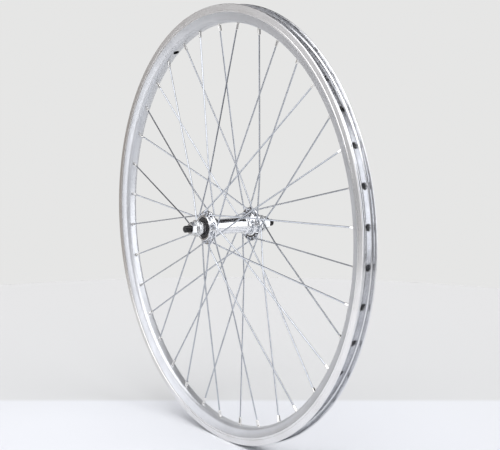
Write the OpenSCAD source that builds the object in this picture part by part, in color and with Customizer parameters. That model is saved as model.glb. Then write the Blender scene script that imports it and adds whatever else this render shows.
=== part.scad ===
// Bicycle front wheel without a tyre: double-wall aluminium rim, 36 crossed spokes and a hub with
// loose balls, adjustable cones and a solid nutted axle. The wheel spins about the Y axis, the origin
// is at the centre of the wheel, Z is up and the wheel rolls towards +X, so its right side is -Y.

/* [Rim] */
// Radius of the tyre's bead seat
bead_seat_r = 279.5; // [250:0.5:315]
// Height of the rim flanges above the bead seat
flange_height = 6; // [5:0.5:7]
// Width over the brake tracks
rim_w = 21; // [20:0.5:24]
// Depth from the flange tips to the inner crown
rim_depth = 23.5; // [23:0.5:28]
// Height of the brake tracks
track_h = 10.5; // [10:0.5:12]
// Diameter of the valve hole
valve_hole_d = 8.5; // [6.5:0.5:9]
// Diameter of the nipple access holes in the tyre bed
access_hole_d = 9; // [8:0.5:9]
// Angle of the valve hole, from +X towards +Z
valve_angle = 120.4; // [0:0.1:360]

/* [Spokes] */
// Number of spokes
spoke_count = 36; // [28, 32, 36]
// Other spokes that each spoke crosses on its own side
crossings = 3; // [3]
// Spoke diameter
spoke_d = 2; // [1.8:0.1:2]
// Length of the nipples
nipple_l = 13.6; // [12:0.2:14]

/* [Hub] */
// Distance between the middles of the spoke flanges
flange_spacing = 68; // [67:0.5:69]
// Diameter of the circle of spoke holes in each flange
hole_circle_d = 38; // [38:0.5:39]
// Diameter of the spoke flanges
hub_flange_d = 45; // [45:0.5:48]
// Thickness of the spoke flanges
hub_flange_t = 2.6; // [2.4:0.1:2.6]
// Diameter of the hub barrel
barrel_d = 21.4; // [20:0.2:22]
// Diameter of the bearing balls
ball_d = 4.7625; // [4.7625]
// Number of balls in each bearing
ball_count = 10; // [9:1:10]

/* [Axle] */
// Diameter of the axle
axle_d = 9; // [8:0.5:9]
// Length of the axle
axle_l = 138; // [134:1:142]
// Distance between the outer faces of the locknuts, where the fork ends sit
locknut_spacing = 100; // [100]
// Width of the axle nuts across their flats
axle_nut_af = 15; // [14:1:15]

/* [Hidden] */
$fn = 96;

right = -1;
left = 1;
trailing = -1;
leading = 1;
fit_gap = 0.02;
cut = 1;

// Rim section, as half widths and radii
tip_r = bead_seat_r + flange_height;
crown_r = tip_r - rim_depth;
half_w = rim_w / 2;
track_r = tip_r - track_h;
groove_r = track_r + track_h / 4;
groove_depth = 0.4;
box_step = 0.3;
box_half_w = half_w - box_step;
box_lean = 13;
box_round = 6;
side_wall = 1.6;
crown_wall = 1.8;
bed_wall = 1.5;
hook_round = 1.05;
well_r = bead_seat_r - 9;
well_half_w = 5.8;
seat_half_w = 7;
seat_taper = 0.2;
cavity_top_r = well_r - bed_wall;
cavity_chamfer = 2.4;
sleeve_gap = 0.15;
sleeve_arc = 8;
sleeve_half_w = 4.5;
sleeve_foot_half_w = 2.4;
sleeve_foot = 2.5;

// Hub section, as distances from the centre along the axle and radii
flange_y = flange_spacing / 2;
hole_circle_r = hole_circle_d / 2;
hub_flange_r = hub_flange_d / 2;
barrel_r = barrel_d / 2;
ball_r = ball_d / 2;
ball_y = flange_y + 2.1;
ball_circle_r = 8.9;
race_gap = 0.15;
race_r = ball_r + race_gap;
retainer_gap = 0.3;
retainer_w = 1.9;
retainer_l = 1.5;
pocket_gap = 0.06;
cup_lip = 1.2;
cup_bore_r = 13;
cup_inner_y = flange_y - 1.8;
cup_outer_y = flange_y + 4.4;
mouth_r = 14;
mouth_y = flange_y + 6.4;
shell_end_r = 16.6;
shell_bore_r = 7;
seal_t = 1.2;
seal_y = cup_outer_y + 0.4;
cone_r = 8.2;
cone_end_y = flange_y + 11;
cone_flats = 13;
locknut_y = locknut_spacing / 2;
locknut_t = 4;
locknut_af = 17;
locknut_face_r = 10.6;
locknut_face_t = 1.2;
axle_r = axle_d / 2;
axle_bore_r = axle_r + fit_gap;
axle_washer_t = 2;
axle_washer_r = 11;
nut_y = locknut_y + axle_washer_t;
nut_face_r = 9.6;
nut_face_t = 1.2;
nut_hex_l = 7;
nut_chamfer = 0.8;
locknut_chamfer = 0.5;
nut_end_y = nut_y + nut_face_t + nut_hex_l;
axle_groove_y = nut_end_y - 0.6;
axle_groove_w = 1.3;
axle_groove_r = axle_r - 0.3;
axle_point = 1.6;
axle_end_y = axle_l / 2 - axle_point;

// Spokes: each leaves its flange hole through an elbow, passes its outermost crossing and runs
// straight on into its nipple
spoke_r = spoke_d / 2;
hole_pitch = 720 / spoke_count;
rim_pitch = 360 / spoke_count;
wrap_angle = crossings * hole_pitch;
rim_stagger = 0.8;
elbow_r = 2;
outer_shank_gap = 0.8;
inner_shank_gap = 0.3;
crossing_bend_r = 40;
bend_thinning = 0.9;
bend_reach = 0.3;
flange_hole_r = spoke_r + 0.25;
flange_sink = 0.75;
head_r = 1.9;
head_t = 0.9;
rim_hole_r = 2.2;
outer_shank_y = flange_y + hub_flange_t / 2 + outer_shank_gap + spoke_r;
inner_shank_y = flange_y - hub_flange_t / 2 - inner_shank_gap - spoke_r;
crossing_share = crossing_share_from_rim();
crossing_r = crown_r * cos(hole_pitch / 2) * (1 - crossing_share)
    + hole_circle_r * cos(wrap_angle - hole_pitch / 2) * crossing_share;
crossing_y = rim_stagger * (1 - crossing_share) + (outer_shank_y + inner_shank_y) / 2 * crossing_share;
crossing_offset = spoke_r + fit_gap;

// Nipple, as distances along its spoke from the inner crown towards the tyre
nipple_r = 2;
nipple_flats = 3.3;
nipple_head_r = 3;
nipple_head_y = 2.1;
nipple_top_y = 4.6;
nipple_neck_y = -1;
nipple_tip = 0.6;
nipple_slot_w = 0.9;
nipple_slot_depth = 1.1;
spoke_end_y = nipple_top_y - nipple_slot_depth - 0.3;

function unit(v) = v / norm(v);
function polar(r, angle, y) = [r * cos(angle), y, r * sin(angle)];
// Share of the way from the rim to the hub at which a spoke meets its outermost crossing
function crossing_share_from_rim() =
    let (rim_part = crown_r * sin(hole_pitch / 2))
    rim_part / (rim_part + hole_circle_r * sin(wrap_angle - hole_pitch / 2));
// The spokes are counted from the valve hole. Even ones belong to the right flange, and the first two
// of every four trail
function rim_angle(k) = valve_angle - (k - 0.5) * rim_pitch;
function spoke_side(k) = k % 2 == 0 ? right : left;
function spoke_turn(k) = k % 4 == 1 || k % 4 == 2 ? trailing : leading;
function spokes_of(side, turn) = [
    for (k = [1 : spoke_count]) if (spoke_side(k) == side && spoke_turn(k) == turn) k
];
function shank_y(turn) = turn == leading ? outer_shank_y : inner_shank_y;
function hub_point(k) =
    polar(hole_circle_r, rim_angle(k) + spoke_turn(k) * wrap_angle, spoke_side(k) * shank_y(spoke_turn(k)));
// Where two spokes are laced, the one that starts outside passes inside
function crossing_point(k) = polar(
    crossing_r,
    rim_angle(k) + spoke_turn(k) * hole_pitch / 2,
    spoke_side(k) * (crossing_y - spoke_turn(k) * crossing_offset)
);
function rim_point(k) = polar(crown_r, rim_angle(k), spoke_side(k) * rim_stagger);
function nipple_direction(k) = unit(rim_point(k) - crossing_point(k));

// Turns the Z axis to a direction
module along(direction) {
    rotate([0, acos(direction.z / norm(direction)), atan2(direction.y, direction.x)]) children();
}

// Puts a shape drawn along Z on the hub's axis, pointing away from the centre on one side
module on_side(side) {
    rotate([side * -90, 0, 0]) children();
}

// Turns a section drawn as [radius, distance along the axle] into a ring on one side
module turned(side) {
    on_side(side) rotate_extrude() children();
}

module rod(from, to, r) {
    translate(from) along(to - from) cylinder(r = r, h = norm(to - from));
}

// Round bend of a rod between two straight directions, starting at a point. It is a little thinner
// than the straight stretches, which reach into it at both ends
module bend(start, d_in, d_out, r, bend_r) {
    normal = unit(d_out - (d_out * d_in) * d_in);
    centre = start + bend_r * normal;
    x = -normal;
    y = d_in;
    z = cross(x, y);
    multmatrix([
        [x.x, y.x, z.x, centre.x],
        [x.y, y.y, z.y, centre.y],
        [x.z, y.z, z.z, centre.z],
        [0, 0, 0, 1],
    ])
        rotate_extrude(angle = acos(d_in * d_out))
            translate([bend_r, 0]) circle(r * bend_thinning);
}

// Rim -------------------------------------------------------------------------------------------

// Box of the rim under the brake tracks: leaning sides and a rounded crown. The inset gives the
// section of the space inside it
module box_section(inset, crown) {
    round_r = box_round - inset;
    round_at = crown + round_r;
    edge = box_half_w - inset;
    centre_w = edge - (track_r - round_at) * tan(box_lean) - round_r / cos(box_lean);
    tangent = [round_at - round_r * sin(box_lean), centre_w + round_r * cos(box_lean)];
    union() {
        for (side = [-1, 1])
            translate([round_at, side * centre_w]) circle(round_r);
        polygon([
            [crown, -centre_w],
            [tangent.x, -tangent.y],
            [track_r, -edge],
            [track_r + cut, -edge],
            [track_r + cut, edge],
            [track_r, edge],
            tangent,
            [crown, centre_w],
        ]);
    }
}

// Space inside the box, closed by the tyre bed and by the thick roots of the brake tracks
module cavity_section() {
    ear_r = cavity_top_r + cavity_chamfer;
    ear_w = well_half_w + cavity_chamfer;
    difference() {
        box_section(side_wall, crown_r + crown_wall);
        polygon([
            [cavity_top_r, -well_half_w],
            [ear_r, -ear_w],
            [ear_r, -rim_w],
            [tip_r, -rim_w],
            [tip_r, rim_w],
            [ear_r, rim_w],
            [ear_r, ear_w],
            [cavity_top_r, well_half_w],
        ]);
    }
}

// Space over the tyre bed: the drop centre, the two bead seats and the walls up to the tips
module bed_section() {
    wall = half_w - side_wall;
    polygon([
        [well_r, -well_half_w],
        [bead_seat_r - seat_taper, -seat_half_w],
        [bead_seat_r, -wall],
        [tip_r + cut, -wall],
        [tip_r + cut, wall],
        [bead_seat_r, wall],
        [bead_seat_r - seat_taper, seat_half_w],
        [well_r, well_half_w],
    ]);
}

// Line turned into each brake track, which shows when the track is worn out
module wear_groove_sections() {
    for (side = [-1, 1])
        polygon([
            [groove_r - groove_depth - 0.1, side * (half_w + 0.1)],
            [groove_r, side * (half_w - groove_depth)],
            [groove_r + groove_depth + 0.1, side * (half_w + 0.1)],
        ]);
}

module rim_section() {
    union() {
        for (side = [-1, 1])
            translate([tip_r - hook_round, side * (half_w - hook_round)]) circle(hook_round);
        difference() {
            union() {
                box_section(0, crown_r);
                translate([track_r, -half_w]) square([track_h - hook_round, rim_w]);
            }
            bed_section();
            cavity_section();
            wear_groove_sections();
        }
    }
}

module rim() {
    color([0.78, 0.79, 0.8])
        difference() {
            rotate([90, 0, 0]) rotate_extrude() rim_section();
            for (k = [1 : spoke_count])
                translate(rim_point(k)) along(nipple_direction(k)) {
                    translate([0, 0, -crown_wall]) cylinder(r = rim_hole_r, h = 3 * crown_wall);
                    translate([0, 0, cavity_top_r - crown_r - 2 * cut])
                        cylinder(d = access_hole_d, h = bed_wall + 4 * cut);
                }
            translate(polar(crown_r - cut, valve_angle, 0))
                along(polar(1, valve_angle, 0))
                    cylinder(d = valve_hole_d, h = well_r - crown_r + 2 * cut);
        }
}

// Insert that joins the two ends of the rolled hoop, opposite the valve hole
module rim_sleeve() {
    seam = valve_angle + 180;
    color([0.7, 0.7, 0.72])
        rotate([0, -seam + sleeve_arc / 2, 0])
            rotate([90, 0, 0])
                rotate_extrude(angle = sleeve_arc) sleeve_section();
}

module sleeve_section() {
    low_r = crown_r + crown_wall + 2 * sleeve_gap;
    high_r = cavity_top_r - sleeve_gap;
    polygon([
        [low_r, -sleeve_foot_half_w],
        [low_r + sleeve_foot, -sleeve_half_w],
        [high_r, -sleeve_half_w],
        [high_r, sleeve_half_w],
        [low_r + sleeve_foot, sleeve_half_w],
        [low_r, sleeve_foot_half_w],
    ]);
}

// Spokes and nipples ----------------------------------------------------------------------------

// Flat head of a spoke with the cone that seats in the flange, drawn along the way into the hole
module spoke_head() {
    rotate_extrude()
        polygon([
            [0, -head_t],
            [head_r - 0.4, -head_t],
            [head_r, 0.4 - head_t],
            [head_r, 0],
            [spoke_r * bend_thinning, flange_sink],
            [0, flange_sink],
        ]);
}

module spoke(k) {
    side = spoke_side(k);
    turn = spoke_turn(k);
    corner = hub_point(k);
    crossing = crossing_point(k);
    through = [0, side * turn, 0];
    first = unit(crossing - corner);
    second = nipple_direction(k);
    elbow = elbow_r * tan(acos(through * first) / 2);
    kink = crossing_bend_r * tan(acos(first * second) / 2);
    elbow_start = corner - elbow * through;
    kink_start = crossing - kink * first;
    head_seat = polar(hole_circle_r, rim_angle(k) + turn * wrap_angle,
        side * (flange_y - turn * hub_flange_t / 2));
    translate(head_seat) along(through) spoke_head();
    rod(head_seat + bend_reach * through, elbow_start + bend_reach * through, spoke_r);
    bend(elbow_start, through, first, spoke_r, elbow_r);
    rod(corner + (elbow - bend_reach) * first, kink_start + bend_reach * first, spoke_r);
    bend(kink_start, first, second, spoke_r, crossing_bend_r);
    rod(crossing + (kink - bend_reach) * second, rim_point(k) + spoke_end_y * second, spoke_r);
}

module spokes(side, turn) {
    color([0.66, 0.69, 0.73])
        for (k = spokes_of(side, turn)) spoke(k);
}

module nipple() {
    tail = nipple_top_y - nipple_l;
    difference() {
        union() {
            translate([0, 0, nipple_neck_y])
                cylinder(r = nipple_r, h = nipple_head_y - nipple_neck_y);
            translate([0, 0, nipple_head_y])
                cylinder(r1 = nipple_r, r2 = nipple_head_r, h = nipple_head_r - nipple_r);
            translate([0, 0, nipple_head_y + nipple_head_r - nipple_r])
                cylinder(r = nipple_head_r, h = nipple_top_y - nipple_head_y - nipple_head_r + nipple_r);
            intersection() {
                translate([-nipple_flats / 2, -nipple_flats / 2, tail])
                    cube([nipple_flats, nipple_flats, nipple_neck_y - tail]);
                union() {
                    translate([0, 0, tail])
                        cylinder(r1 = nipple_r - nipple_tip, r2 = nipple_r, h = nipple_tip);
                    translate([0, 0, tail + nipple_tip])
                        cylinder(r = nipple_r, h = nipple_neck_y - tail - nipple_tip);
                }
            }
        }
        translate([0, 0, tail - cut]) cylinder(r = spoke_r + fit_gap, h = nipple_l + 2 * cut);
        translate([-nipple_head_r - cut, -nipple_slot_w / 2, nipple_top_y - nipple_slot_depth])
            cube([2 * nipple_head_r + 2 * cut, nipple_slot_w, nipple_slot_depth + cut]);
    }
}

module nipples(side) {
    color([0.8, 0.8, 0.78])
        for (turn = [trailing, leading])
            for (k = spokes_of(side, turn))
                translate(rim_point(k)) along(nipple_direction(k)) nipple();
}

// Hub -------------------------------------------------------------------------------------------

// Half of the hub shell's section, from the middle of the barrel to one mouth
module shell_half_section() {
    face = hub_flange_t / 2;
    collar_r = barrel_r + 1.9;
    collar_y = flange_y - 11;
    polygon([
        [shell_bore_r, 0],
        [barrel_r, 0],
        [barrel_r, collar_y - 2],
        [barrel_r + 0.3, collar_y - 0.4],
        [collar_r - 0.4, collar_y],
        [collar_r, collar_y + 0.4],
        [collar_r, flange_y - face - 2.4],
        [collar_r + 0.7, flange_y - face - 0.7],
        [collar_r + 2.4, flange_y - face],
        [hub_flange_r - 2.5, flange_y - face],
        [hub_flange_r - 0.4, flange_y - 0.5],
        [hub_flange_r, flange_y - 0.2],
        [hub_flange_r, flange_y + 0.2],
        [hub_flange_r - 0.4, flange_y + 0.5],
        [hub_flange_r - 2.5, flange_y + face],
        [shell_end_r + 0.5, flange_y + face],
        [shell_end_r, flange_y + face + 0.5],
        [shell_end_r, mouth_y - 0.5],
        [shell_end_r - 0.5, mouth_y],
        [mouth_r + 0.5, mouth_y],
        [mouth_r, mouth_y - 0.5],
        [mouth_r, seal_y],
        [cup_bore_r, seal_y],
        [cup_bore_r, cup_inner_y],
        [shell_bore_r, cup_inner_y],
    ]);
}

module flange_holes(side) {
    hole_h = hub_flange_t + 2 * cut;
    for (turn = [trailing, leading])
        for (k = spokes_of(side, turn))
            translate(polar(hole_circle_r, rim_angle(k) + turn * wrap_angle, side * flange_y))
                on_side(side) {
                    translate([0, 0, -hole_h / 2]) cylinder(r = flange_hole_r, h = hole_h);
                    for (face = [-1, 1])
                        mirror([0, 0, face < 0 ? 1 : 0])
                            translate([0, 0, hub_flange_t / 2 - flange_sink])
                                cylinder(
                                    r1 = flange_hole_r,
                                    r2 = flange_hole_r + 2 * flange_sink,
                                    h = 2 * flange_sink
                                );
                }
}

module hub_shell() {
    color([0.86, 0.87, 0.88])
        difference() {
            union() {
                turned(right) shell_half_section();
                turned(left) shell_half_section();
            }
            flange_holes(right);
            flange_holes(left);
        }
}

// Pressed-in race that the balls run in, open towards the outside
module bearing_cup(side) {
    color([0.6, 0.61, 0.63])
        turned(side)
            difference() {
                translate([ball_circle_r - cup_lip, cup_inner_y])
                    square([cup_bore_r - fit_gap - ball_circle_r + cup_lip, cup_outer_y - cup_inner_y]);
                translate([ball_circle_r, ball_y]) circle(race_r);
                translate([0, ball_y - race_r]) square([ball_circle_r, 2 * race_r + cut]);
                translate([0, ball_y]) square([ball_circle_r + race_r, race_r + cut]);
            }
}

module balls(side) {
    color([0.75, 0.76, 0.78])
        for (i = [0 : ball_count - 1])
            translate(polar(ball_circle_r, i * 360 / ball_count, side * ball_y)) sphere(ball_r);
}

// Pressed ring that spaces the balls, with a pocket for each one
module ball_retainer(side) {
    color([0.55, 0.5, 0.4])
        difference() {
            turned(side)
                translate([ball_circle_r + retainer_gap, ball_y + retainer_gap])
                    square([retainer_w, retainer_l]);
            for (i = [0 : ball_count - 1])
                translate(polar(ball_circle_r, i * 360 / ball_count, side * ball_y))
                    sphere(ball_r + pocket_gap);
        }
}

// Rubber disc pressed into the mouth of the shell, with a lip close to the cone
module dust_seal(side) {
    color([0.05, 0.05, 0.05])
        turned(side)
            polygon([
                [cone_r + 0.35, seal_y + 0.1],
                [mouth_r - fit_gap, seal_y + 0.02],
                [mouth_r - fit_gap, seal_y + seal_t - 0.3],
                [mouth_r - 0.5, seal_y + seal_t],
                [cone_r + 2, seal_y + seal_t],
                [cone_r + 1.4, seal_y + seal_t + 0.5],
                [cone_r + 0.35, seal_y + seal_t + 0.5],
            ]);
}

// Threaded cone with a ball track and two wrench flats
module cone(side) {
    flats_y = mouth_y + 0.8;
    color([0.45, 0.45, 0.46])
        difference() {
            turned(side)
                difference() {
                    polygon([
                        [axle_bore_r, ball_y - 1.6],
                        [6, ball_y - 1.6],
                        [ball_circle_r - race_r + 0.2, ball_y - 0.8],
                        [cone_r, ball_y],
                        [cone_r, cone_end_y - 0.3],
                        [cone_r - 0.3, cone_end_y],
                        [axle_bore_r, cone_end_y],
                    ]);
                    translate([ball_circle_r, ball_y]) circle(race_r);
                }
            for (face = [-1, 1])
                on_side(side)
                    translate([face * (cone_flats / 2 + cone_r) - cone_r, -cone_r, flats_y])
                        cube([2 * cone_r, 2 * cone_r, cone_end_y - flats_y + cut]);
        }
}

// Ring with square edges on the axle
module washer(side, y, r, t) {
    on_side(side)
        translate([0, 0, y])
            difference() {
                cylinder(r = r, h = t);
                translate([0, 0, -cut]) cylinder(r = axle_bore_r, h = t + 2 * cut);
            }
}

module spacer(side) {
    color([0.7, 0.71, 0.72])
        washer(side, cone_end_y, cone_r + 0.6, locknut_y - locknut_t - cone_end_y);
}

// Six-sided prism whose outer corners are cut off by a cone, which is wider than it is high
module chamfered_hex(af, h, chamfer) {
    corner_r = af / 2 / cos(30);
    corner_gap = 0.2;
    cone_slope = 1.6;
    intersection() {
        cylinder(r = corner_r, h = h, $fn = 6);
        union() {
            cylinder(r = corner_r + cut, h = h - chamfer);
            translate([0, 0, h - chamfer])
                cylinder(
                    r1 = corner_r + corner_gap,
                    r2 = corner_r + corner_gap - cone_slope * chamfer,
                    h = chamfer
                );
        }
    }
}

module locknut(side) {
    color([0.72, 0.73, 0.74])
        on_side(side)
            difference() {
                union() {
                    translate([0, 0, locknut_y - locknut_face_t])
                        mirror([0, 0, 1])
                            chamfered_hex(locknut_af, locknut_t - locknut_face_t, locknut_chamfer);
                    translate([0, 0, locknut_y - locknut_face_t])
                        cylinder(r = locknut_face_r, h = locknut_face_t);
                }
                translate([0, 0, locknut_y - locknut_t - cut])
                    cylinder(r = axle_bore_r, h = locknut_t + 2 * cut);
            }
}

module axle_washer(side) {
    color([0.8, 0.81, 0.82]) washer(side, locknut_y, axle_washer_r, axle_washer_t);
}

module axle_nut(side) {
    color([0.76, 0.77, 0.77])
        on_side(side)
            difference() {
                union() {
                    translate([0, 0, nut_y]) cylinder(r = nut_face_r, h = nut_face_t);
                    translate([0, 0, nut_y + nut_face_t])
                        chamfered_hex(axle_nut_af, nut_hex_l, nut_chamfer);
                }
                translate([0, 0, nut_y - cut])
                    cylinder(r = axle_bore_r, h = nut_face_t + nut_hex_l + 2 * cut);
            }
}

// Steel axle with pointed ends. A shallow groove marks where each nut ends and the free end starts
module axle() {
    free_y = axle_groove_y + axle_groove_w;
    color([0.08, 0.08, 0.08])
        for (side = [right, left])
            on_side(side) {
                cylinder(r = axle_r, h = axle_groove_y);
                translate([0, 0, axle_groove_y]) cylinder(r = axle_groove_r, h = axle_groove_w);
                translate([0, 0, free_y]) cylinder(r = axle_r, h = axle_end_y - free_y);
                translate([0, 0, axle_end_y])
                    cylinder(r1 = axle_r, r2 = axle_r - axle_point, h = axle_point);
            }
}

rim();
rim_sleeve();
hub_shell();
spokes(right, trailing);  // spokes_right_trailing
spokes(right, leading);  // spokes_right_leading
spokes(left, trailing);  // spokes_left_trailing
spokes(left, leading);  // spokes_left_leading
nipples(right);  // nipples_right
nipples(left);  // nipples_left
bearing_cup(right);  // bearing_cup_right
bearing_cup(left);  // bearing_cup_left
dust_seal(right);  // dust_seal_right
dust_seal(left);  // dust_seal_left
balls(right);  // balls_right
balls(left);  // balls_left
ball_retainer(right);  // ball_retainer_right
ball_retainer(left);  // ball_retainer_left
axle();
cone(right);  // cone_right
cone(left);  // cone_left
spacer(right);  // spacer_right
spacer(left);  // spacer_left
locknut(right);  // locknut_right
locknut(left);  // locknut_left
axle_washer(right);  // axle_washer_right
axle_washer(left);  // axle_washer_left
axle_nut(right);  // axle_nut_right
axle_nut(left);  // axle_nut_left
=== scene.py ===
import math

import bpy
from mathutils import Matrix, Vector


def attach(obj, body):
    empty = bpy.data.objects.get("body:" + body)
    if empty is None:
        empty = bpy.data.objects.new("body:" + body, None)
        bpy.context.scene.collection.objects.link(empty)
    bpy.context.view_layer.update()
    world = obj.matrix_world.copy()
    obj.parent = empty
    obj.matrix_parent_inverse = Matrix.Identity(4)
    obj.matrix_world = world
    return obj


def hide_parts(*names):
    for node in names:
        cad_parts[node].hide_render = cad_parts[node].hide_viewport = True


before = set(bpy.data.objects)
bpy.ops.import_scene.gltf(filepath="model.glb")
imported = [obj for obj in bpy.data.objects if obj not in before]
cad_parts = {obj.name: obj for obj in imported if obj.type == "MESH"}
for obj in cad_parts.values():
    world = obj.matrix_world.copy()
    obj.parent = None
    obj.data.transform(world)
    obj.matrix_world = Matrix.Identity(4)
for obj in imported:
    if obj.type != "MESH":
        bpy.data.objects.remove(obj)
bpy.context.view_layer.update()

# Bare bicycle front wheel. Lengths are in mm until a mesh is made, angles in degrees. The wheel
# turns about Y, the right side is -Y, and an angle runs from +X towards +Z.

MM = 0.001
RIGHT, LEFT = -1, 1
TRAILING, LEADING = -1, 1
SIDES = ((RIGHT, "right"), (LEFT, "left"))
TURNS = ((TRAILING, "trailing"), (LEADING, "leading"))

# Rim
TIP_R = 285.5
CROWN_R = 262.0
TRACK_R = 275.0
GROOVE_R = 277.625
GROOVE_DEPTH = 0.4
SEAT_R = 279.5
WELL_R = 270.5
HALF_W = 10.5
BOX_HALF_W = 10.2
BOX_LEAN = 13.0
BOX_ROUND = 6.0
WALL = 1.6
HOOK_R = 1.05
CROWN_WALL = 1.8
BED_WALL = 1.5
SPOKE_HOLE_R = 2.2
ACCESS_HOLE_R = 4.5
VALVE_HOLE_R = 4.25
VALVE_ANGLE = 120.4
SEAM_ANGLE = (VALVE_ANGLE + 180) % 360
SEAM_DEPTH = 0.12

# Lacing
SPOKES = 36
RIM_PITCH = 360 / SPOKES
HOLE_PITCH = 720 / SPOKES
WRAP = 3 * HOLE_PITCH
HOLE_CIRCLE_R = 19.0
FLANGE_Y = 34.0
FLANGE_T = 2.6
SPOKE_R = 1.0
OUTER_SHANK_Y = 37.1
INNER_SHANK_Y = 31.4
RIM_STAGGER = 0.8
ELBOW_R = 2.0
KINK_R = 40.0
SPOKE_END = 3.2

# Hub and axle, as distances from the middle of the wheel along the axle
BARREL_R = 10.7
FLANGE_R = 22.5
SHELL_END_R = 16.6
MOUTH_R = 14.0
MOUTH_Y = 40.4
SEAL_Y = 38.8
CONE_R = 8.2
CONE_END_Y = 45.0
LOCKNUT_Y = 50.0
LOCKNUT_T = 4.0
LOCKNUT_AF = 17.0
LOCKNUT_FACE_R = 10.6
WASHER_R = 11.0
NUT_AF = 15.0
NUT_FACE_R = 9.6
NUT_FACE_T = 1.2
NUT_Y = 52.0
NUT_END_Y = 60.2
AXLE_END_Y = 69.0
AXLE_R = 4.5
BORE_R = 4.52
THREAD_PITCH = 1.0
SHELL_BORE_R = 7.0
CUP_BORE_R = 13.0

# Edges sharper than this angle stay sharp
SHARP = 32


# Meshes ------------------------------------------------------------------------------------------

def new_piece(name, points, faces, materials, slots=None, sharp=SHARP):
    """Mesh object from points in mm, smooth except across edges sharper than the given angle"""
    mesh = bpy.data.meshes.new(name)
    mesh.from_pydata([Vector(p) * MM for p in points], [], faces)
    for material in materials:
        mesh.materials.append(material)
    if slots:
        mesh.polygons.foreach_set("material_index", slots)
    piece = bpy.data.objects.new(name, mesh)
    bpy.context.scene.collection.objects.link(piece)
    smooth(piece, sharp)
    return piece


def smooth(piece, sharp):
    piece.data.polygons.foreach_set("use_smooth", [True] * len(piece.data.polygons))
    piece.data.set_sharp_from_angle(angle=math.radians(sharp))
    piece.data.update()


def rounded(corners, step=15):
    """Closed outline through corners given as (radius, distance, rounding)"""
    outline = []
    for i, (r, y, rounding) in enumerate(corners):
        corner = Vector((r, y))
        if not rounding:
            outline.append(corner)
            continue
        back = (Vector(corners[i - 1][:2]) - corner).normalized()
        on = (Vector(corners[(i + 1) % len(corners)][:2]) - corner).normalized()
        half = back.angle(on) / 2
        centre = corner + (back + on).normalized() * (rounding / math.sin(half))
        start = corner + back * (rounding / math.tan(half)) - centre
        turn = (math.pi - 2 * half) * (1 if back.cross(on) < 0 else -1)
        count = max(2, round(math.degrees(abs(turn)) / step))
        for j in range(count + 1):
            outline.append(centre + Matrix.Rotation(turn * j / count, 2) @ start)
    return outline


def spread(outline, longest, closed=True):
    """The same outline with no stretch longer than a given length"""
    dense = [] if closed else [outline[-1]]
    for i, here in enumerate(outline if closed else outline[:-1]):
        there = outline[(i + 1) % len(outline)]
        count = max(1, math.ceil((there - here).length / longest))
        dense += [here.lerp(there, j / count) for j in range(count)]
    return dense if closed else dense[1:] + dense[:1]


def turned(outline, segments=0, shape=None, angles=None):
    """
    Points and faces of a closed outline turned about Y, in even segments or at given angles. The
    shape gives the radius at an angle.
    """
    angles = angles or [math.tau * i / segments for i in range(segments)]
    points = []
    for angle in angles:
        for r, y in outline:
            reach = shape(r, y, angle) if shape else r
            points.append((reach * math.cos(angle), y, reach * math.sin(angle)))
    rows, columns = len(angles), len(outline)
    faces = []
    for i in range(rows):
        for j in range(columns):
            k = (j + 1) % columns
            n = (i + 1) % rows
            faces.append((i * columns + j, i * columns + k, n * columns + k, n * columns + j))
    return outward(points, faces, outline)


def outward(points, faces, outline):
    """Turns the faces over if the outline runs the other way round"""
    area = sum(a.x * b.y - b.x * a.y for a, b in zip(outline, outline[1:] + outline[:1]))
    return points, faces if area > 0 else [face[::-1] for face in faces]


def spindle(outline, segments, shape=None):
    """Points and faces of a solid turned about Y. The outline starts and ends on the axis"""
    ring = outline[1:-1]
    points = [(0, outline[0].y, 0), (0, outline[-1].y, 0)]
    for r, y in ring:
        for i in range(segments):
            angle = math.tau * i / segments
            reach = shape(r, y, angle) if shape else r
            points.append((reach * math.cos(angle), y, reach * math.sin(angle)))
    faces = []
    last = 2 + (len(ring) - 1) * segments
    for i in range(segments):
        n = (i + 1) % segments
        faces.append((0, 2 + i, 2 + n))
        faces.append((1, last + n, last + i))
        for j in range(len(ring) - 1):
            a = 2 + j * segments
            faces.append((a + i, a + segments + i, a + segments + n, a + n))
    if outline[-1].y < outline[0].y:
        faces = [face[::-1] for face in faces]
    return points, faces


def tube(path, radii, sides):
    """Points and faces of a closed round rod along a path"""
    count = len(path)
    axis = (path[1] - path[0]).normalized()
    side = axis.orthogonal().normalized()
    points = []
    for i, centre in enumerate(path):
        here = (path[min(i + 1, count - 1)] - path[max(i - 1, 0)]).normalized()
        side = (axis.rotation_difference(here) @ side).normalized()
        axis = here
        other = axis.cross(side)
        for j in range(sides):
            angle = math.tau * j / sides
            points.append(centre + radii[i] * (math.cos(angle) * side + math.sin(angle) * other))
    faces = [tuple(range(sides))[::-1], tuple(range((count - 1) * sides, count * sides))]
    for i in range(count - 1):
        for j in range(sides):
            k = (j + 1) % sides
            a = i * sides
            faces.append((a + j, a + k, a + sides + k, a + sides + j))
    return points, faces


def gather(parts):
    """One list of points and faces from several"""
    points, faces = [], []
    for more_points, more_faces in parts:
        start = len(points)
        points += more_points
        faces += [tuple(start + i for i in face) for face in more_faces]
    return points, faces


def mirrored(points, faces, side):
    """A shape drawn for the left side, on the side asked for"""
    if side == LEFT:
        return points, faces
    return [(x, -y, z) for x, y, z in points], [face[::-1] for face in faces]


def cut(piece, cutter_parts):
    """Takes closed shapes out of a piece"""
    cutter = new_piece("cutter", *gather(cutter_parts), [])
    modifier = piece.modifiers.new("cut", "BOOLEAN")
    modifier.object = cutter
    modifier.operation = "DIFFERENCE"
    modifier.solver = "EXACT"
    depsgraph = bpy.context.evaluated_depsgraph_get()
    mesh = bpy.data.meshes.new_from_object(piece.evaluated_get(depsgraph))
    piece.modifiers.clear()
    piece.data = mesh
    bpy.data.objects.remove(cutter)
    smooth(piece, SHARP)
    return piece


# Materials ---------------------------------------------------------------------------------------

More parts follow.
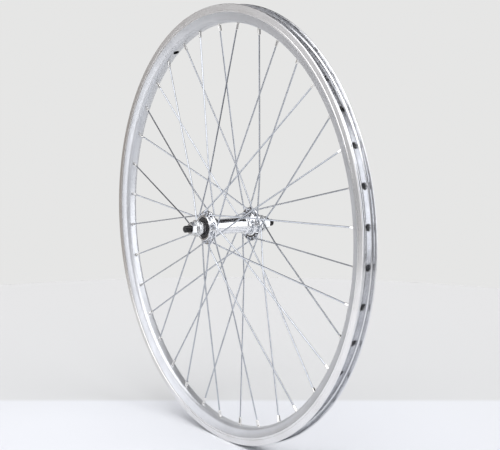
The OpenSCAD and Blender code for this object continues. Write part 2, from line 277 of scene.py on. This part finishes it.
class Nodes:
    """Builds up one node tree"""

    def node(self, kind, settings=(), **links):
        """Node with its settings, and its inputs given by number, such as _0=value"""
        node = self.tree.nodes.new(kind)
        for key, value in dict(settings).items():
            setattr(node, key, value)
        for socket, value in links.items():
            self.feed(node.inputs[int(socket[1:])], value)
        return node

    def feed(self, socket, value):
        if isinstance(value, bpy.types.NodeSocket):
            self.tree.links.new(value, socket)
        else:
            socket.default_value = value

    def math(self, operation, a, b=0.0):
        return self.node("ShaderNodeMath", {"operation": operation}, _0=a, _1=b).outputs[0]

    def mix(self, factor, first, second):
        """Mix of two colours, each of them a socket or three numbers"""
        mix = self.node("ShaderNodeMix", {"data_type": "RGBA"}, _0=factor)
        for socket, colour in ((6, first), (7, second)):
            plain = not isinstance(colour, bpy.types.NodeSocket)
            self.feed(mix.inputs[socket], (*colour, 1) if plain else colour)
        return mix.outputs[2]


class Finish(Nodes):
    """Builds one procedural material from the object's own coordinates"""

    def __init__(self, name, colour, metallic, roughness, **fixed):
        self.material = bpy.data.materials.new(name)
        self.material.use_nodes = True
        self.tree = self.material.node_tree
        self.shader = self.tree.nodes["Principled BSDF"]
        self.shader.inputs["Base Color"].default_value = (*colour, 1)
        self.shader.inputs["Metallic"].default_value = metallic
        self.shader.inputs["Roughness"].default_value = roughness
        for socket, value in fixed.items():
            self.shader.inputs[socket.replace("_", " ")].default_value = value
        self.place = self.node("ShaderNodeTexCoord").outputs["Object"]

    def turned_place(self):
        """Coordinates that are the same all the way round the axle, for lines left by turning"""
        parts = self.node("ShaderNodeSeparateXYZ", _0=self.place)
        x, y, z = parts.outputs
        r = self.math("SQRT", self.math("ADD", self.math("MULTIPLY", x, x), self.math("MULTIPLY", z, z)))
        return self.node("ShaderNodeCombineXYZ", _0=r, _1=y).outputs[0]

    def noise(self, size, detail=3.0, place=None):
        """Noise with features of about a size in mm"""
        noise = self.node("ShaderNodeTexNoise")
        self.feed(noise.inputs["Vector"], place or self.place)
        noise.inputs["Scale"].default_value = 1 / (size * MM)
        noise.inputs["Detail"].default_value = detail
        return noise.outputs[0]

    def between(self, value, low, high, start=0.3, end=0.7):
        return self.node(
            "ShaderNodeMapRange", {"clamp": True}, _0=value, _1=start, _2=end, _3=low, _4=high
        ).outputs[0]

    def colours(self, value, first, second, start=0.35, end=0.65):
        share = self.between(value, 0, 1, start, end)
        self.feed(self.shader.inputs["Base Color"], self.mix(share, first, second))

    def roughness(self, value, low, high):
        self.feed(self.shader.inputs["Roughness"], self.between(value, low, high))

    def relief(self, value, depth, strength=1.0):
        """Bump of a depth in mm"""
        bump = self.node("ShaderNodeBump")
        bump.inputs["Strength"].default_value = strength
        bump.inputs["Distance"].default_value = depth * MM
        self.feed(bump.inputs["Height"], value)
        self.feed(self.shader.inputs["Normal"], bump.outputs[0])

    def grain_round_axle(self):
        """Stretches reflections across lines that run round the axle"""
        tangent = self.node("ShaderNodeTangent", {"direction_type": "RADIAL", "axis": "Y"})
        self.feed(self.shader.inputs["Tangent"], tangent.outputs[0])


def extruded_satin():
    finish = Finish("satin_anodised_aluminium", (0.66, 0.67, 0.69), 1.0, 0.45)
    lines = finish.noise(0.5, 2.0, finish.turned_place())
    clouds = finish.noise(28.0, 4.0)
    finish.colours(clouds, (0.64, 0.65, 0.67), (0.69, 0.7, 0.72))
    finish.roughness(finish.noise(6.0), 0.42, 0.49)
    finish.relief(lines, 0.006, 0.35)
    return finish.material


def machined_track():
    finish = Finish("machined_brake_track", (0.8, 0.79, 0.78), 1.0, 0.24, Anisotropic=0.8)
    lines = finish.noise(0.14, 2.0, finish.turned_place())
    finish.colours(finish.noise(30.0, 3.0), (0.79, 0.78, 0.77), (0.84, 0.835, 0.83))
    finish.roughness(lines, 0.18, 0.26)
    finish.relief(lines, 0.002, 0.2)
    finish.grain_round_axle()
    return finish.material


def extruded_raw():
    finish = Finish("bright_extruded_aluminium", (0.8, 0.805, 0.82), 1.0, 0.2)
    finish.colours(finish.noise(12.0, 4.0), (0.76, 0.765, 0.78), (0.83, 0.835, 0.85))
    finish.roughness(finish.noise(3.0), 0.16, 0.24)
    finish.relief(finish.noise(0.6, 2.0, finish.turned_place()), 0.003, 0.25)
    return finish.material


def painted_shade_box_inside():
    # Dull metal inside the box, its colour made dark grey to paint the shade that falls inside the hollow
    finish = Finish("dull_and_painted_shade_inside_of_box", (0.16, 0.16, 0.17), 0.6, 0.6)
    finish.colours(finish.noise(9.0, 4.0), (0.12, 0.12, 0.125), (0.2, 0.2, 0.21))
    finish.roughness(finish.noise(2.0), 0.5, 0.7)
    finish.relief(finish.noise(0.6, 2.0), 0.01, 0.4)
    return finish.material


def polished_aluminium():
    finish = Finish("polished_aluminium", (0.87, 0.875, 0.885), 1.0, 0.08)
    lines = finish.noise(0.2, 3.0, finish.turned_place())
    finish.colours(finish.noise(7.0, 3.0), (0.84, 0.845, 0.86), (0.9, 0.905, 0.91))
    finish.roughness(finish.noise(1.6, 3.0), 0.05, 0.13)
    finish.relief(lines, 0.002, 0.25)
    return finish.material


def drawn_steel():
    finish = Finish("bright_spoke_steel", (0.47, 0.49, 0.525), 1.0, 0.13)
    finish.colours(finish.noise(9.0, 3.0), (0.43, 0.45, 0.48), (0.52, 0.54, 0.58))
    finish.roughness(finish.noise(1.5), 0.1, 0.18)
    finish.relief(finish.noise(0.25, 2.0), 0.003, 0.3)
    return finish.material


def nickel_plate():
    finish = Finish("nickel_plated_brass", (0.8, 0.79, 0.76), 1.0, 0.14)
    finish.colours(finish.noise(4.0), (0.76, 0.745, 0.71), (0.84, 0.83, 0.81))
    finish.roughness(finish.noise(0.8), 0.1, 0.2)
    finish.relief(finish.noise(0.3, 2.0), 0.003, 0.3)
    return finish.material


def zinc_plate():
    finish = Finish("bright_zinc_plate", (0.74, 0.75, 0.75), 1.0, 0.25)
    finish.colours(finish.noise(3.0, 4.0), (0.68, 0.695, 0.7), (0.77, 0.77, 0.765))
    finish.roughness(finish.noise(0.9), 0.18, 0.3)
    finish.relief(finish.noise(0.35, 3.0), 0.003, 0.25)
    return finish.material


def race_steel():
    finish = Finish("ground_race_steel", (0.52, 0.52, 0.53), 1.0, 0.25)
    finish.colours(finish.noise(2.5, 3.0), (0.47, 0.47, 0.48), (0.57, 0.57, 0.58))
    finish.roughness(finish.noise(0.6), 0.2, 0.34)
    finish.relief(finish.noise(0.12, 2.0, finish.turned_place()), 0.003, 0.4)
    return finish.material


def ball_steel():
    finish = Finish("polished_ball_steel", (0.75, 0.76, 0.78), 1.0, 0.05)
    finish.roughness(finish.noise(0.7), 0.04, 0.1)
    finish.colours(finish.noise(2.0), (0.72, 0.73, 0.75), (0.78, 0.79, 0.81))
    return finish.material


def pressed_steel():
    finish = Finish("oiled_pressed_steel", (0.5, 0.46, 0.36), 1.0, 0.32)
    finish.colours(finish.noise(1.8, 3.0), (0.42, 0.38, 0.29), (0.56, 0.52, 0.42))
    finish.roughness(finish.noise(0.7), 0.24, 0.4)
    finish.relief(finish.noise(0.4), 0.006, 0.4)
    return finish.material


def black_oxide():
    finish = Finish("black_oxide_steel", (0.045, 0.045, 0.05), 0.85, 0.42)
    finish.colours(finish.noise(1.5, 4.0), (0.03, 0.03, 0.034), (0.075, 0.073, 0.07))
    finish.roughness(finish.noise(0.5), 0.32, 0.5)
    finish.relief(finish.noise(0.25, 3.0), 0.006, 0.5)
    return finish.material


def seal_rubber():
    finish = Finish("seal_rubber", (0.018, 0.018, 0.02), 0.0, 0.55)
    finish.colours(finish.noise(2.5, 3.0), (0.014, 0.014, 0.015), (0.028, 0.028, 0.03))
    finish.roughness(finish.noise(0.8), 0.48, 0.65)
    finish.relief(finish.noise(0.2, 2.0), 0.01, 0.4)
    return finish.material


# Rim ---------------------------------------------------------------------------------------------

RAW, SATIN, TRACK, INSIDE = range(4)


def box_side(inset, crown):
    """Left half of the box's outline from the middle of the crown out to the brake track"""
    round_r = BOX_ROUND - inset
    lean = math.radians(BOX_LEAN)
    edge = BOX_HALF_W - inset
    round_at = crown + round_r
    centre_w = edge - (TRACK_R - round_at) * math.tan(lean) - round_r / math.cos(lean)
    side = [Vector((crown, 0))]
    for i in range(13):
        angle = (math.pi / 2 - lean) * i / 12
        side.append(Vector((round_at - round_r * math.cos(angle), centre_w + round_r * math.sin(angle))))
    side.append(Vector((TRACK_R - 0.3, edge - 0.02)))
    return side


def both_sides(half):
    """Closed outline from its left half, which starts and ends in the middle plane"""
    return half + [Vector((p.x, -p.y)) for p in half[-2:0:-1]]


def rim_outline():
    """Outline of the rim and the surface of each stretch of it"""
    depth = GROOVE_DEPTH
    half = [(p, SATIN) for p in box_side(0, CROWN_R)]
    half += [(Vector(p), TRACK) for p in (
        (TRACK_R, HALF_W - 0.06),
        (TRACK_R + 0.08, HALF_W),
        (GROOVE_R - depth, HALF_W),
        (GROOVE_R - 0.08, HALF_W - depth),
        (GROOVE_R + 0.08, HALF_W - depth),
        (GROOVE_R + depth, HALF_W),
        (TIP_R - 1.2, HALF_W),
    )]
    hook = Vector((TIP_R - HOOK_R, HALF_W - HOOK_R))
    for i in range(13):
        angle = math.radians(90 - 15 * i)
        half.append((hook + HOOK_R * Vector((math.cos(angle), math.sin(angle))), TRACK if i < 3 else RAW))
    half += [(p, RAW) for p in spread([
        Vector((TIP_R - 2.0, HALF_W - WALL)),
        Vector((SEAT_R + 0.5, HALF_W - WALL)),
        Vector((SEAT_R + 0.12, HALF_W - WALL - 0.15)),
        Vector((SEAT_R, HALF_W - WALL - 0.5)),
        Vector((SEAT_R - 0.2, 7.3)),
        Vector((SEAT_R - 0.5, 6.95)),
        Vector((WELL_R + 0.9, 5.95)),
        Vector((WELL_R + 0.25, 5.7)),
        Vector((WELL_R, 5.1)),
        Vector((WELL_R, 0)),
    ], 3.0, closed=False)]
    return half


def cavity_half():
    """Left half of the outline of the space inside the box"""
    top = WELL_R - BED_WALL
    half = box_side(WALL, CROWN_R + CROWN_WALL)[:-1]
    half += [Vector((top + 2.4, 7.6)), Vector((top + 2.4, 7.4)), Vector((top, 5.8)), Vector((top, 0))]
    return half


def rim_angles():
    """Even steps round the rim, and close ones at the seam"""
    steps = 480
    seam = math.radians(SEAM_ANGLE)
    angles = [math.tau * i / steps for i in range(steps)]
    angles = [a for a in angles if abs(a - seam) > 0.002]
    return sorted(angles + [seam + d for d in (-0.0006, -0.00025, 0.00025, 0.0006)])


def rim_parts():
    half = rim_outline()
    outline = both_sides([p for p, _ in half])
    surfaces = [s for _, s in half]
    surfaces = surfaces[:-1] + surfaces[-2::-1]
    seam = math.radians(SEAM_ANGLE)
    groove_half = 0.0003

    def seam_groove(r, y, angle):
        if abs(angle - seam) > groove_half:
            return r
        return r + (SEAM_DEPTH if r < WELL_R and abs(y) > 1 else 0)

    angles = rim_angles()
    shell = turned(outline, shape=seam_groove, angles=angles)
    inner = turned(both_sides(cavity_half()), angles=angles)
    inner = (inner[0], [face[::-1] for face in inner[1]])
    slots = surfaces[:len(outline)] * len(angles) + [INSIDE] * len(inner[1])
    return gather([shell, inner]), slots


def drill(start, end, r):
    return tube([start, end], [r, r], 48)


def rim_cutters():
    cutters = []
    bed = WELL_R - CROWN_R
    for k in range(1, SPOKES + 1):
        start = rim_point(k)
        along = nipple_direction(k)
        cutters.append(drill(start + along * -2, start + along * 4, SPOKE_HOLE_R))
        cutters.append(drill(start + along * (bed - 3), start + along * (bed + 4), ACCESS_HOLE_R))
    out = polar(1, VALVE_ANGLE, 0)
    cutters.append(drill(out * (CROWN_R - 1), out * (WELL_R + 1), VALVE_HOLE_R))
    return cutters


def build_rim(materials):
    (points, faces), slots = rim_parts()
    rim = new_piece("rim_with_holes", points, faces, materials, slots)
    cut(rim, rim_cutters())
    return rim


# Lacing ------------------------------------------------------------------------------------------

def polar(r, angle, y):
    turn = math.radians(angle)
    return Vector((r * math.cos(turn), y, r * math.sin(turn)))


def rim_angle(k):
    return VALVE_ANGLE - (k - 0.5) * RIM_PITCH


def spoke_side(k):
    return RIGHT if k % 2 == 0 else LEFT


def spoke_turn(k):
    return TRAILING if k % 4 in (1, 2) else LEADING


def spokes_of(side, turn):
    return [k for k in range(1, SPOKES + 1) if spoke_side(k) == side and spoke_turn(k) == turn]


def rim_point(k):
    return polar(CROWN_R, rim_angle(k), spoke_side(k) * RIM_STAGGER)


def hub_angle(k):
    return rim_angle(k) + spoke_turn(k) * WRAP


def hub_point(k):
    y = OUTER_SHANK_Y if spoke_turn(k) == LEADING else INNER_SHANK_Y
    return polar(HOLE_CIRCLE_R, hub_angle(k), spoke_side(k) * y)


def crossing_point(k):
    """Where a spoke meets the outermost of the spokes that it crosses"""
    half = math.radians(HOLE_PITCH / 2)
    wrap = math.radians(WRAP) - half
    share = CROWN_R * math.sin(half) / (CROWN_R * math.sin(half) + HOLE_CIRCLE_R * math.sin(wrap))
    r = CROWN_R * math.cos(half) * (1 - share) + HOLE_CIRCLE_R * math.cos(wrap) * share
    y = RIM_STAGGER * (1 - share) + (OUTER_SHANK_Y + INNER_SHANK_Y) / 2 * share
    turn = spoke_turn(k)
    return polar(r, rim_angle(k) + turn * HOLE_PITCH / 2, spoke_side(k) * (y - turn * (SPOKE_R + 0.02)))


def nipple_direction(k):
    return (rim_point(k) - crossing_point(k)).normalized()


def bent(corner, first, second, bend_r, steps):
    """Points of a round bend at a corner between two directions"""
    turn = first.angle(second)
    start = corner - first * bend_r * math.tan(turn / 2)
    inward = (second - first * first.dot(second)).normalized()
    centre = start + inward * bend_r
    points = []
    for i in range(steps + 1):
        angle = turn * i / steps
        points.append(centre - inward * bend_r * math.cos(angle) + first * bend_r * math.sin(angle))
    return points


HEAD = ((-0.9, 0.35), (-0.88, 0.8), (-0.8, 1.2), (-0.62, 1.58), (-0.35, 1.83), (-0.08, 1.9),
        (0.06, 1.84), (0.3, 1.55), (0.55, 1.22), (0.75, 1.04), (0.9, SPOKE_R))


def spoke(k):
    side, turn = spoke_side(k), spoke_turn(k)
    through = Vector((0, side * turn, 0))
    corner, crossing, end = hub_point(k), crossing_point(k), rim_point(k)
    first = (crossing - corner).normalized()
    second = nipple_direction(k)
    seat = polar(HOLE_CIRCLE_R, hub_angle(k), side * (FLANGE_Y - turn * FLANGE_T / 2))
    path = [seat + through * h for h, _ in HEAD]
    radii = [r for _, r in HEAD]
    path += bent(corner, through, first, ELBOW_R, 10)
    kink = bent(crossing, first, second, KINK_R, 6)
    path += [path[-1].lerp(kink[0], t) for t in (0.03, 0.5)]
    path += kink
    path += [kink[-1].lerp(end, t) for t in (0.33, 0.66, 0.95)]
    path += [end + second * SPOKE_END, end + second * (SPOKE_END + 0.15)]
    radii += [SPOKE_R] * (len(path) - len(radii) - 1) + [0.8]
    return tube(path, radii, 24)


def build_spokes(side, turn, name, material):
    parts = [spoke(k) for k in spokes_of(side, turn)]
    return new_piece(name, *gather(parts), [material], sharp=40)


# Nipple, as distances along its spoke from the inner crown towards the tyre
NIPPLE = ((1.02, -8.8, 0), (1.25, -9.0, 0), (1.5, -9.0, 0.1), (2.0, -8.3, 0.3), (2.0, -1.6, 0),
          (2.0, -1.2, 0), (2.0, -0.7, 0), (2.0, 2.1, 0.3), (3.0, 3.1, 0.25), (3.0, 4.6, 0.5),
          (1.02, 4.6, 0.1))


def nipple_shape(r, y, angle):
    """Four flats on the tail, which fade out into the round neck"""
    if r < 1.3:
        return r
    fade = min(max((y + 1.7) / 0.9, 0), 1)
    flat = 1.65 + 0.4 * fade * fade * (3 - 2 * fade)
    return min(r, flat / max(abs(math.cos(angle)), abs(math.sin(angle))))


def nipple_mesh():
    """Points and faces of one slotted nipple"""
    outline = spread(rounded(NIPPLE, 20), 1.2)
    piece = new_piece("nipple", *turned(outline, 64, nipple_shape), [])
    slot = tube([Vector((-4, 4.1, 0)), Vector((4, 4.1, 0))], [0.636, 0.636], 4)
    cut(piece, [slot])
    points = [v.co / MM for v in piece.data.vertices]
    faces = [tuple(p.vertices) for p in piece.data.polygons]
    bpy.data.objects.remove(piece)
    return points, faces


def build_nipples(side, name, one, material):
    points, faces = one
    parts = []
    for k in spokes_of(side, TRAILING) + spokes_of(side, LEADING):
        direction = nipple_direction(k)
        across = Vector((0, 1, 0)).cross(direction).normalized()
        turn = Matrix((across, direction, across.cross(direction))).transposed()
        twist = Matrix.Rotation(math.radians(37 * k % 90), 3, "Y")
        start = rim_point(k)
        parts.append(([start + turn @ (twist @ p) for p in points], faces))
    return new_piece(name, *gather(parts), [material], sharp=35)


# Hub ---------------------------------------------------------------------------------------------

def shell_outline():
    """Outline of the hub shell's left half from the middle of the barrel, doubled to both sides"""
    face = FLANGE_T / 2
    collar_r, collar_y = BARREL_R + 1.9, FLANGE_Y - 11
    corners = [
        (SHELL_BORE_R, 0, 0), (BARREL_R, 0, 0), (BARREL_R, collar_y - 1.2, 1.1), (collar_r, collar_y, 0.8),
        (collar_r, FLANGE_Y - face, 2.6), (FLANGE_R, FLANGE_Y - face, 0.9),
        (FLANGE_R, FLANGE_Y + face, 0.9), (SHELL_END_R, FLANGE_Y + face, 0.6),
        (SHELL_END_R, MOUTH_Y, 0.7), (MOUTH_R, MOUTH_Y, 0.4), (MOUTH_R, SEAL_Y, 0),
        (CUP_BORE_R, SEAL_Y, 0), (CUP_BORE_R, FLANGE_Y - 1.8, 0), (SHELL_BORE_R, FLANGE_Y - 1.8, 0),
    ]
    half = rounded(corners, 10)[1:]
    return spread(half + [Vector((p.x, -p.y)) for p in half[:0:-1]], 3.0)


def flange_cutters():
    """Spoke holes, countersunk from both faces"""
    cutters = []
    half = FLANGE_T / 2
    profile = ((-half - 0.6, 2.6), (-half + 0.75, 1.25), (half - 0.75, 1.25), (half + 0.6, 2.6))
    for k in range(1, SPOKES + 1):
        middle = polar(HOLE_CIRCLE_R, hub_angle(k), spoke_side(k) * FLANGE_Y)
        cutters.append(tube([middle + Vector((0, h, 0)) for h, _ in profile], [r for _, r in profile], 28))
    return cutters


def build_hub_shell(material):
    shell = new_piece("polished_hub_shell", *turned(shell_outline(), 240), [material])
    return cut(shell, flange_cutters())


def build_dust_seal(side, name, material):
    t = 1.2
    outline = rounded([
        (CONE_R + 0.35, SEAL_Y + 0.12, 0), (MOUTH_R - 0.02, SEAL_Y + 0.03, 0),
        (MOUTH_R - 0.02, SEAL_Y + t - 0.1, 0.2), (MOUTH_R - 0.8, SEAL_Y + t, 0.2),
        (MOUTH_R - 1.2, SEAL_Y + t - 0.35, 0.2), (CONE_R + 2.9, SEAL_Y + t - 0.35, 0.3),
        (CONE_R + 2.3, SEAL_Y + t + 0.1, 0.2), (CONE_R + 1.5, SEAL_Y + t + 0.5, 0.25),
        (CONE_R + 0.35, SEAL_Y + t + 0.5, 0.2),
    ])
    return new_piece(name, *mirrored(*turned(outline, 96), side), [material])


# Axle hardware -----------------------------------------------------------------------------------

def thread(r, y, angle):
    """Radius of the axle with a 60 degree thread on its outer stretches"""
    if abs(y) < LOCKNUT_Y - 1 or abs(y) > AXLE_END_Y - 1.1:
        return r
    phase = (y / THREAD_PITCH - angle / math.tau) % 1
    wave = abs(2 * phase - 1)
    return r - 0.55 * min(max((wave - 0.12) / 0.76, 0), 1)


def build_axle(material):
    step = THREAD_PITCH / 8
    outer = [LOCKNUT_Y - 1.2 + i * step for i in range(int((AXLE_END_Y - LOCKNUT_Y + 0.1) / step) + 1)]
    rows = [Vector((AXLE_R - 0.03, y)) for y in (0, 15, 30, 40) + tuple(outer)]
    rounding = ((4.1, 0.95), (3.75, 0.55), (3.3, 0.22), (2.7, 0.04), (2.3, 0))
    half = rows[1:] + [Vector((r, AXLE_END_Y - h)) for r, h in rounding]
    outline = [Vector((0, -AXLE_END_Y))] + [Vector((p.x, -p.y)) for p in half[::-1]] + rows[:1] + half
    outline.append(Vector((0, AXLE_END_Y)))
    return new_piece("threaded_axle", *spindle(outline, 64, thread), [material], sharp=45)


def ring(side, name, inner, outer, start, end, rounding, material):
    outline = rounded([
        (inner, start, 0), (outer, start, rounding), (outer, end, rounding), (inner, end, 0),
    ])
    return new_piece(name, *mirrored(*turned(outline, 128), side), [material])


def hexagonal(af):
    def shape(r, y, angle):
        if r < af / 2 - 0.9:
            return r
        sector = (angle + math.pi / 6) % (math.pi / 3) - math.pi / 6
        return min(r, af / 2 / math.cos(sector))
    return shape


def hex_part(side, af, start, end, chamfer_start, chamfer_end):
    """Six-sided ring whose corners are cut off by shallow cones"""
    corner = af / 2 / math.cos(math.pi / 6)
    inner = af / 2 - 0.35
    outline = [Vector((BORE_R + 0.35, start)), Vector((inner, start))]
    for i in range(7):
        share = i / 6
        outline.append(Vector((inner + (corner - inner) * share, start + chamfer_start * share)))
    outline += [Vector((corner, start + (end - start) * 0.5))]
    for i in range(7):
        share = 1 - i / 6
        outline.append(Vector((inner + (corner - inner) * share, end - chamfer_end * share)))
    outline += [Vector((BORE_R + 0.35, end)), Vector((BORE_R, end - 0.35)), Vector((BORE_R, start + 0.35))]
    return mirrored(*turned(outline, 288, hexagonal(af)), side)


def flanged_nut(side, name, af, face, hexagon, material):
    """Nut made of a round face (radius, start, end) and a hexagon (start, end and its two chamfers)"""
    face_r, face_start, face_end = face
    disc = rounded([
        (BORE_R, face_start, 0), (face_r, face_start, 0.2), (face_r, face_end, 0.35), (BORE_R, face_end, 0),
    ])
    parts = [mirrored(*turned(disc, 128), side), hex_part(side, af, *hexagon)]
    return new_piece(name, *gather(parts), [material], sharp=25)


# Stage -------------------------------------------------------------------------------------------

AZIMUTH, ELEVATION, DISTANCE = 56.7, 7.05, 1.578
FOCAL = 87.0
SHIFT_X, SHIFT_Y = 0.0414, 0.0014


def place_camera():
    a, e = math.radians(AZIMUTH), math.radians(ELEVATION)
    back = Vector((math.sin(a) * math.cos(e), -math.cos(a) * math.cos(e), math.sin(e)))
    data = bpy.data.cameras.new("camera")
    data.lens = FOCAL
    data.sensor_width = 36
    data.shift_x = SHIFT_X
    data.shift_y = SHIFT_Y
    camera = bpy.data.objects.new("camera", data)
    camera.location = back * DISTANCE
    camera.rotation_euler = back.to_track_quat("Z", "Y").to_euler()
    bpy.context.scene.collection.objects.link(camera)
    bpy.context.scene.camera = camera


FLOOR_R = 1.3
FLOOR_SIDES = 96
WALL_COLOUR = (0.79, 0.79, 0.785)


def place_floor():
    """
    Round floor, bluish white near the wheel and as grey as the wall a little behind it. The edge
    between the two is fixed in the scene, square to the photograph's viewing direction.
    """
    finish = Finish("studio_floor", (0.8, 0.8, 0.8), 0.0, 1.0, Specular_IOR_Level=0.0)
    a = math.radians(AZIMUTH)
    parts = finish.node("ShaderNodeSeparateXYZ", _0=finish.place)
    depth = finish.math(
        "ADD",
        finish.math("MULTIPLY", parts.outputs[0], -math.sin(a)),
        finish.math("MULTIPLY", parts.outputs[1], math.cos(a)),
    )
    near, edge, far = (0.735, 0.746, 0.772), (0.64, 0.643, 0.64), (0.644, 0.643, 0.637)
    behind = finish.mix(finish.between(depth, 0, 1, 0.180, 0.196), near, edge)
    away = finish.node("ShaderNodeVectorMath", {"operation": "LENGTH"}, _0=finish.place).outputs["Value"]
    colour = finish.mix(finish.between(away, 0, 1, 0.4, 1.1), behind, far)
    finish.feed(finish.shader.inputs["Base Color"], colour)
    mesh = bpy.data.meshes.new("floor")
    turns = [math.tau * i / FLOOR_SIDES for i in range(FLOOR_SIDES)]
    corners = [(FLOOR_R * math.cos(turn), FLOOR_R * math.sin(turn), -TIP_R * MM) for turn in turns]
    mesh.from_pydata(corners, [], [tuple(range(FLOOR_SIDES))])
    mesh.materials.append(finish.material)
    floor = bpy.data.objects.new("floor", mesh)
    bpy.context.scene.collection.objects.link(floor)


class Studio(Nodes):
    """Room seen in the metal: a dark surround with soft bright panels, each set in a direction"""

    def __init__(self, surround, wall):
        world = bpy.data.worlds.new("studio")
        bpy.context.scene.world = world
        world.use_nodes = True
        self.tree = world.node_tree
        self.tree.nodes.clear()
        self.place = self.node("ShaderNodeTexCoord").outputs["Generated"]
        self.light = surround
        self.wall = wall

    def along(self, direction):
        dot = self.node("ShaderNodeVectorMath", {"operation": "DOT_PRODUCT"}, _0=self.place, _1=direction)
        return dot.outputs["Value"]

    def inside(self, value, half, soft):
        """1 within half of zero, falling smoothly to 0 over the soft edge"""
        size = self.math("ABSOLUTE", value)
        smooth_step = {"interpolation_type": "SMOOTHSTEP"}
        end = half + soft
        fade = self.node("ShaderNodeMapRange", smooth_step, _0=size, _1=half, _2=end, _3=1.0, _4=0.0)
        return fade.outputs[0]

    def panel(self, centre, width, height, soft, colour):
        """Panel facing the wheel. Its size is in units of its distance from the wheel"""
        centre = Vector(centre).normalized()
        across = centre.cross(Vector((0, 0, 1))).normalized()
        up = across.cross(centre)
        ahead = self.along(centre)
        safe = self.math("MAXIMUM", ahead, 0.01)
        mask = self.math("GREATER_THAN", ahead, 0.01)
        for axis, size in ((across, width), (up, height)):
            offset = self.math("DIVIDE", self.along(axis), safe)
            mask = self.math("MULTIPLY", mask, self.inside(offset, size / 2, soft))
        self.light = self.mix(mask, self.light, colour)

    def finish(self):
        room = self.node("ShaderNodeBackground", _0=self.light)
        wall = self.node("ShaderNodeBackground", _0=(*self.wall, 1))
        seen = self.node("ShaderNodeLightPath").outputs["Is Camera Ray"]
        mix = self.node("ShaderNodeMixShader", _0=seen, _1=room.outputs[0], _2=wall.outputs[0])
        self.node("ShaderNodeOutputWorld", _0=mix.outputs[0])


def light_studio():
    studio = Studio(surround=(0.04, 0.038, 0.04), wall=WALL_COLOUR)
    studio.panel((-0.83, 0.55, 0.12), 2.0, 1.0, 0.4, (0.78, 0.78, 0.79))
    studio.panel((0.75, 0.5, 0.26), 1.1, 0.95, 0.08, (1.9, 1.92, 1.98))
    studio.panel((-0.52, -0.85, 0.1), 0.55, 0.9, 0.08, (2.0, 2.02, 2.1))
    studio.panel((-0.95, -0.31, 0.02), 0.42, 0.6, 0.08, (0.42, 0.39, 0.37))
    studio.panel((0.7, -0.72, 0.1), 1.3, 0.8, 0.3, (0.4, 0.4, 0.42))
    studio.panel((0.3, -0.35, 1), 1.1, 1.0, 0.25, (2.9, 2.9, 2.95))
    studio.finish()


# Assembly ----------------------------------------------------------------------------------------

def put(piece, body, node):
    """A detailed piece in the place of a CAD node"""
    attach(piece, body)
    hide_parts(node)


def refinish(node, material):
    """A CAD node keeps its shape and gets a better material"""
    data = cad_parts[node].data
    data.materials.clear()
    data.materials.append(material)
    data.polygons.foreach_set("use_smooth", [True] * len(data.polygons))
    data.set_sharp_from_angle(angle=math.radians(SHARP))


def build_wheel():
    raw = extruded_raw()
    put(build_rim([raw, extruded_satin(), machined_track(), painted_shade_box_inside()]), "wheel", "rim")
    put(build_hub_shell(polished_aluminium()), "wheel", "hub_shell")
    refinish("rim_sleeve", raw)
    steel, nickel = drawn_steel(), nickel_plate()
    one = nipple_mesh()
    rubber, race = seal_rubber(), race_steel()
    ball, retainer = ball_steel(), pressed_steel()
    for side, word in SIDES:
        for turn, way in TURNS:
            spokes = build_spokes(side, turn, f"{way}_spokes_{word}", steel)
            put(spokes, "wheel", f"spokes_{word}_{way}")
        nipples = build_nipples(side, f"slotted_nipples_{word}", one, nickel)
        put(nipples, "wheel", f"nipples_{word}")
        seal = build_dust_seal(side, f"ridged_seal_{word}", rubber)
        put(seal, "wheel", f"dust_seal_{word}")
        refinish(f"bearing_cup_{word}", race)
        refinish(f"balls_{word}", ball)
        refinish(f"ball_retainer_{word}", retainer)
        refinish(f"cone_{word}", race)


def build_axle_set():
    zinc = zinc_plate()
    put(build_axle(black_oxide()), "axle_set", "axle")
    for side, word in SIDES:
        spacer_end = LOCKNUT_Y - LOCKNUT_T
        spacer = ring(
            side, f"rounded_spacer_{word}", BORE_R, CONE_R + 0.6, CONE_END_Y, spacer_end, 0.25, zinc,
        )
        put(spacer, "axle_set", f"spacer_{word}")
        locknut = flanged_nut(
            side, f"round_faced_locknut_{word}", LOCKNUT_AF,
            (LOCKNUT_FACE_R, LOCKNUT_Y - NUT_FACE_T, LOCKNUT_Y),
            (LOCKNUT_Y - LOCKNUT_T, LOCKNUT_Y - NUT_FACE_T, 0.6, 0.02), zinc,
        )
        put(locknut, "axle_set", f"locknut_{word}")
        washer = ring(side, f"rounded_washer_{word}", BORE_R, WASHER_R, LOCKNUT_Y, NUT_Y, 0.4, zinc)
        put(washer, f"washer_{word}", f"axle_washer_{word}")
        nut = flanged_nut(
            side, f"flanged_nut_{word}", NUT_AF,
            (NUT_FACE_R, NUT_Y, NUT_Y + NUT_FACE_T), (NUT_Y + NUT_FACE_T, NUT_END_Y, 0.02, 0.9), zinc,
        )
        put(nut, f"nut_{word}", f"axle_nut_{word}")


bpy.context.scene.view_settings.view_transform = "Standard"
place_camera()
place_floor()
light_studio()
build_wheel()
build_axle_set()
